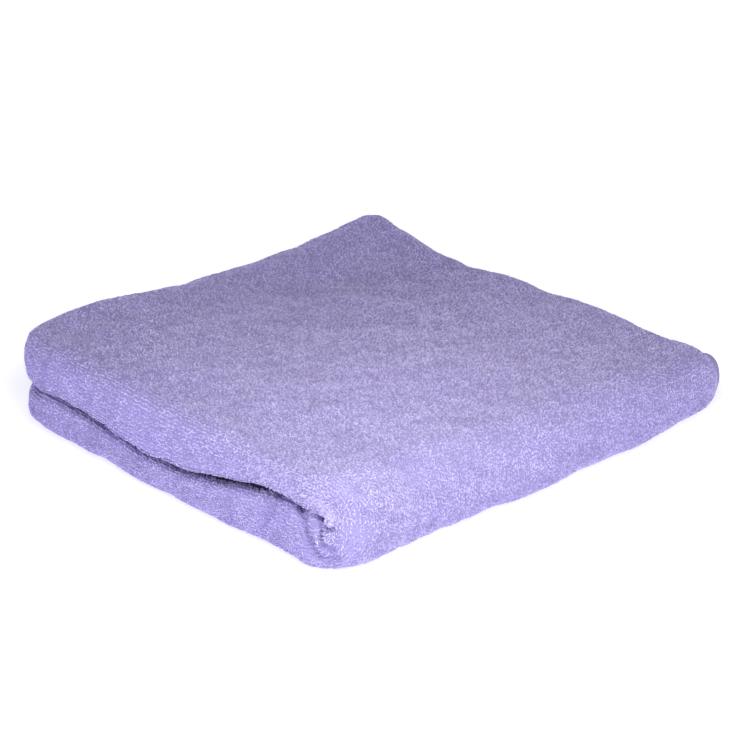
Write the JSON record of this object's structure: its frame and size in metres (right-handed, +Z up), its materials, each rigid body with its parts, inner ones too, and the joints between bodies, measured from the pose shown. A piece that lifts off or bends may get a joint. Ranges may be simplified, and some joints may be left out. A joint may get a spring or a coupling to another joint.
{
  "type": "folded terry towel",
  "caption": "Quick-dry terry travel towel, folded into a flat square pack whose upper half opens over the main fold.",
  "frame": {"origin": "on the ground under the middle of the folded pack", "axes": "+X towards the main fold, +Y towards the bound side edges at the back, +Z up; the two rolled edges face -Y"},
  "size_m": [0.2434, 0.2566, 0.0454],
  "materials": {
    "terry": "lavender fine-looped terry with a soft matt pile",
    "binding_tape": "lavender woven binding tape, flat and slightly smoother than the terry",
    "label_satin": "blank off-white satin tape"
  },
  "bodies": {
    "lower_half": {"lower_outer_ply": "terry", "lower_inner_ply": "terry", "fold_outer_ply": "terry", "fold_inner_ply": "terry", "side_a_binding_lower_outer": "binding_tape", "side_a_binding_lower_inner": "binding_tape", "side_a_binding_fold_outer": "binding_tape", "side_a_binding_fold_inner": "binding_tape", "side_b_binding_lower_outer": "binding_tape", "side_b_binding_lower_inner": "binding_tape", "side_b_binding_fold_outer": "binding_tape", "side_b_binding_fold_inner": "binding_tape", "end_a_binding": "binding_tape", "end_b_binding": "binding_tape", "care_label": "label_satin"},
    "upper_half": {"upper_ply": "terry", "side_a_binding_upper": "binding_tape", "side_b_binding_upper": "binding_tape"}
  },
  "joints": [
    {"name": "main_fold", "type": "hinge", "parent": "lower_half", "child": "upper_half", "pos_m": [0.09877, -0.0046, 0.0208], "axis": [0, 0.9998, -0.0195], "range_deg": [0, 179], "deforming": ["fold_outer_ply", "fold_inner_ply", "side_a_binding_fold_outer", "side_a_binding_fold_inner", "side_b_binding_fold_outer", "side_b_binding_fold_inner"]}
  ]
}
